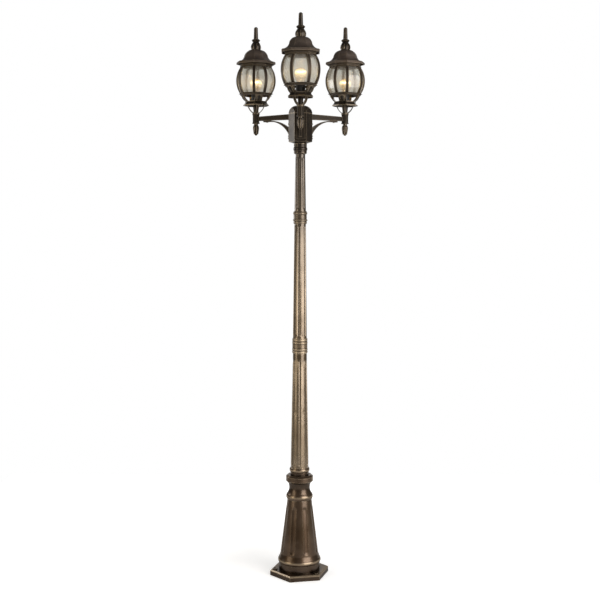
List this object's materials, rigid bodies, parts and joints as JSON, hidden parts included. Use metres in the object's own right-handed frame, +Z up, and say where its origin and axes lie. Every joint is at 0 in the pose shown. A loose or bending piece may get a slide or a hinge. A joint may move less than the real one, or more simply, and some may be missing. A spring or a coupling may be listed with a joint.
{
  "type": "park light",
  "caption": "Tall garden post light with bronze finish: bell-roofed glass lanterns on braced arms around a hexagonal hub, on a fluted tapering post with a flared base.",
  "frame": {"origin": "centre of the ground plate's underside, on the post's axis", "axes": "+Z up along the post; -Y along the front arm; the other arms stand at 120 degrees to it"},
  "size_m": [0.545, 0.4884, 2.32],
  "materials": {
    "bronze_paint": "satin",
    "gold_bronze_paint": "satin",
    "screw_steel": "satin",
    "clear_glass": "clear",
    "socket_black": "matte",
    "cap_brass": "bright"
  },
  "bodies": {
    "post": {"base_casting": "bronze_paint", "lower_post": "gold_bronze_paint", "lower_collar": "bronze_paint", "middle_post": "gold_bronze_paint", "upper_collar": "bronze_paint", "upper_post": "gold_bronze_paint", "post_capital": "bronze_paint", "capital_set_screws": "screw_steel"},
    "head": {"hub": "bronze_paint", "hub_cap": "bronze_paint", "arm_1": "bronze_paint", "brace_1": "bronze_paint", "brace_screw_1": "screw_steel", "threaded_nipple_1": "screw_steel", "acorn_nut_1": "bronze_paint", "strap_cage_1": "bronze_paint", "spacer_tube_1": "bronze_paint", "gallery_1": "bronze_paint", "cage_1": "bronze_paint", "glass_panes_1": "clear_glass", "lamp_socket_1": "socket_black", "arm_2": "bronze_paint", "brace_2": "bronze_paint", "brace_screw_2": "screw_steel", "threaded_nipple_2": "screw_steel", "acorn_nut_2": "bronze_paint", "strap_cage_2": "bronze_paint", "spacer_tube_2": "bronze_paint", "gallery_2": "bronze_paint", "cage_2": "bronze_paint", "glass_panes_2": "clear_glass", "lamp_socket_2": "socket_black", "arm_3": "bronze_paint", "brace_3": "bronze_paint", "brace_screw_3": "screw_steel", "threaded_nipple_3": "screw_steel", "acorn_nut_3": "bronze_paint", "strap_cage_3": "bronze_paint", "spacer_tube_3": "bronze_paint", "gallery_3": "bronze_paint", "cage_3": "bronze_paint", "glass_panes_3": "clear_glass", "lamp_socket_3": "socket_black"},
    "roof_lid_1": {"roof_1": "bronze_paint"},
    "finial_knob_1": {"finial_1": "bronze_paint"},
    "bulb_1": {"bulb_cap_1": "cap_brass", "bulb_glass_1": "clear_glass"},
    "roof_lid_2": {"roof_2": "bronze_paint"},
    "finial_knob_2": {"finial_2": "bronze_paint"},
    "bulb_2": {"bulb_cap_2": "cap_brass", "bulb_glass_2": "clear_glass"},
    "roof_lid_3": {"roof_3": "bronze_paint"},
    "finial_knob_3": {"finial_3": "bronze_paint"},
    "bulb_3": {"bulb_cap_3": "cap_brass", "bulb_glass_3": "clear_glass"}
  },
  "joints": [
    {"name": "head_swivel", "type": "hinge", "parent": "post", "child": "head", "pos_m": [0, 0, 1.826], "axis": [0, 0, 1], "range_deg": [-180, 180]},
    {"name": "roof_lift_1", "type": "slide", "parent": "head", "child": "roof_lid_1", "axis": [0, 0, 1], "range_m": [0, 0.12]},
    {"name": "finial_turn_1", "type": "hinge", "parent": "roof_lid_1", "child": "finial_knob_1", "pos_m": [0, -0.218, 2.224], "axis": [0, 0, 1], "continuous": true},
    {"name": "bulb_turn_1", "type": "hinge", "parent": "head", "child": "bulb_1", "pos_m": [0, -0.218, 2.016], "axis": [0, 0, 1], "continuous": true},
    {"name": "roof_lift_2", "type": "slide", "parent": "head", "child": "roof_lid_2", "axis": [0, 0, 1], "range_m": [0, 0.12]},
    {"name": "finial_turn_2", "type": "hinge", "parent": "roof_lid_2", "child": "finial_knob_2", "pos_m": [0.18879, 0.109, 2.224], "axis": [0, 0, 1], "continuous": true},
    {"name": "bulb_turn_2", "type": "hinge", "parent": "head", "child": "bulb_2", "pos_m": [0.18879, 0.109, 2.016], "axis": [0, 0, 1], "continuous": true},
    {"name": "roof_lift_3", "type": "slide", "parent": "head", "child": "roof_lid_3", "axis": [0, 0, 1], "range_m": [0, 0.12]},
    {"name": "finial_turn_3", "type": "hinge", "parent": "roof_lid_3", "child": "finial_knob_3", "pos_m": [-0.18879, 0.109, 2.224], "axis": [0, 0, 1], "continuous": true},
    {"name": "bulb_turn_3", "type": "hinge", "parent": "head", "child": "bulb_3", "pos_m": [-0.18879, 0.109, 2.016], "axis": [0, 0, 1], "continuous": true}
  ]
}
